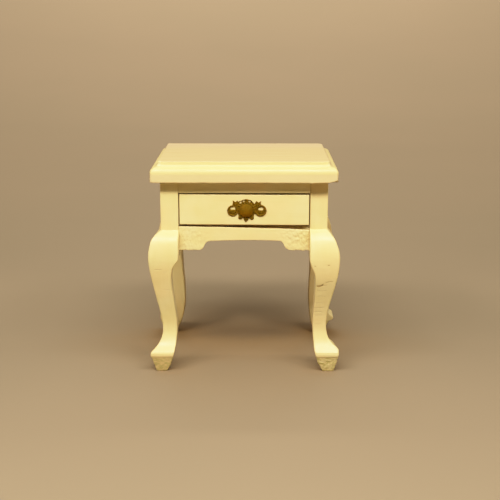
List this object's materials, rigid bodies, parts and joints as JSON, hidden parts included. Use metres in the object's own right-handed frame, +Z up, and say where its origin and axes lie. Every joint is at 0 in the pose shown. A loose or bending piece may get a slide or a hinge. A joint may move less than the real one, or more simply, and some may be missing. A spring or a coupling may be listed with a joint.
{
  "type": "miniature side table",
  "caption": "Small cream-painted wooden side table with curved cabriole legs, an ogee-edged top, scrolled aprons and a sliding drawer with a pierced brass pull.",
  "frame": {"origin": "on the floor, under the middle of the table", "axes": "+Z up, +X to the right seen from the front, the drawer opens towards -Y"},
  "size_m": [0.0562, 0.0432, 0.063],
  "materials": {
    "cream_paint": "satin cream paint brushed over wood, slightly uneven",
    "bare_wood": "bare pale wood with a little cream overspray",
    "antique_brass": "stamped brass, darkened, polished on the high spots"
  },
  "bodies": {
    "frame": {"table_top": "cream_paint", "front_left_leg": "cream_paint", "front_right_leg": "cream_paint", "back_left_leg": "cream_paint", "back_right_leg": "cream_paint", "front_top_rail": "cream_paint", "front_apron": "cream_paint", "left_side_panel": "cream_paint", "right_side_panel": "cream_paint", "back_panel": "cream_paint", "left_drawer_runner": "bare_wood", "right_drawer_runner": "bare_wood", "left_kicker_strip": "bare_wood", "right_kicker_strip": "bare_wood"},
    "drawer": {"drawer_front": "cream_paint", "drawer_left_side": "bare_wood", "drawer_right_side": "bare_wood", "drawer_back": "bare_wood", "drawer_bottom": "bare_wood", "pull_plate": "antique_brass", "pull_knob": "antique_brass"}
  },
  "joints": [
    {"name": "drawer_slide", "type": "slide", "parent": "frame", "child": "drawer", "axis": [0, -1, 0], "range_m": [0, 0.024]}
  ]
}
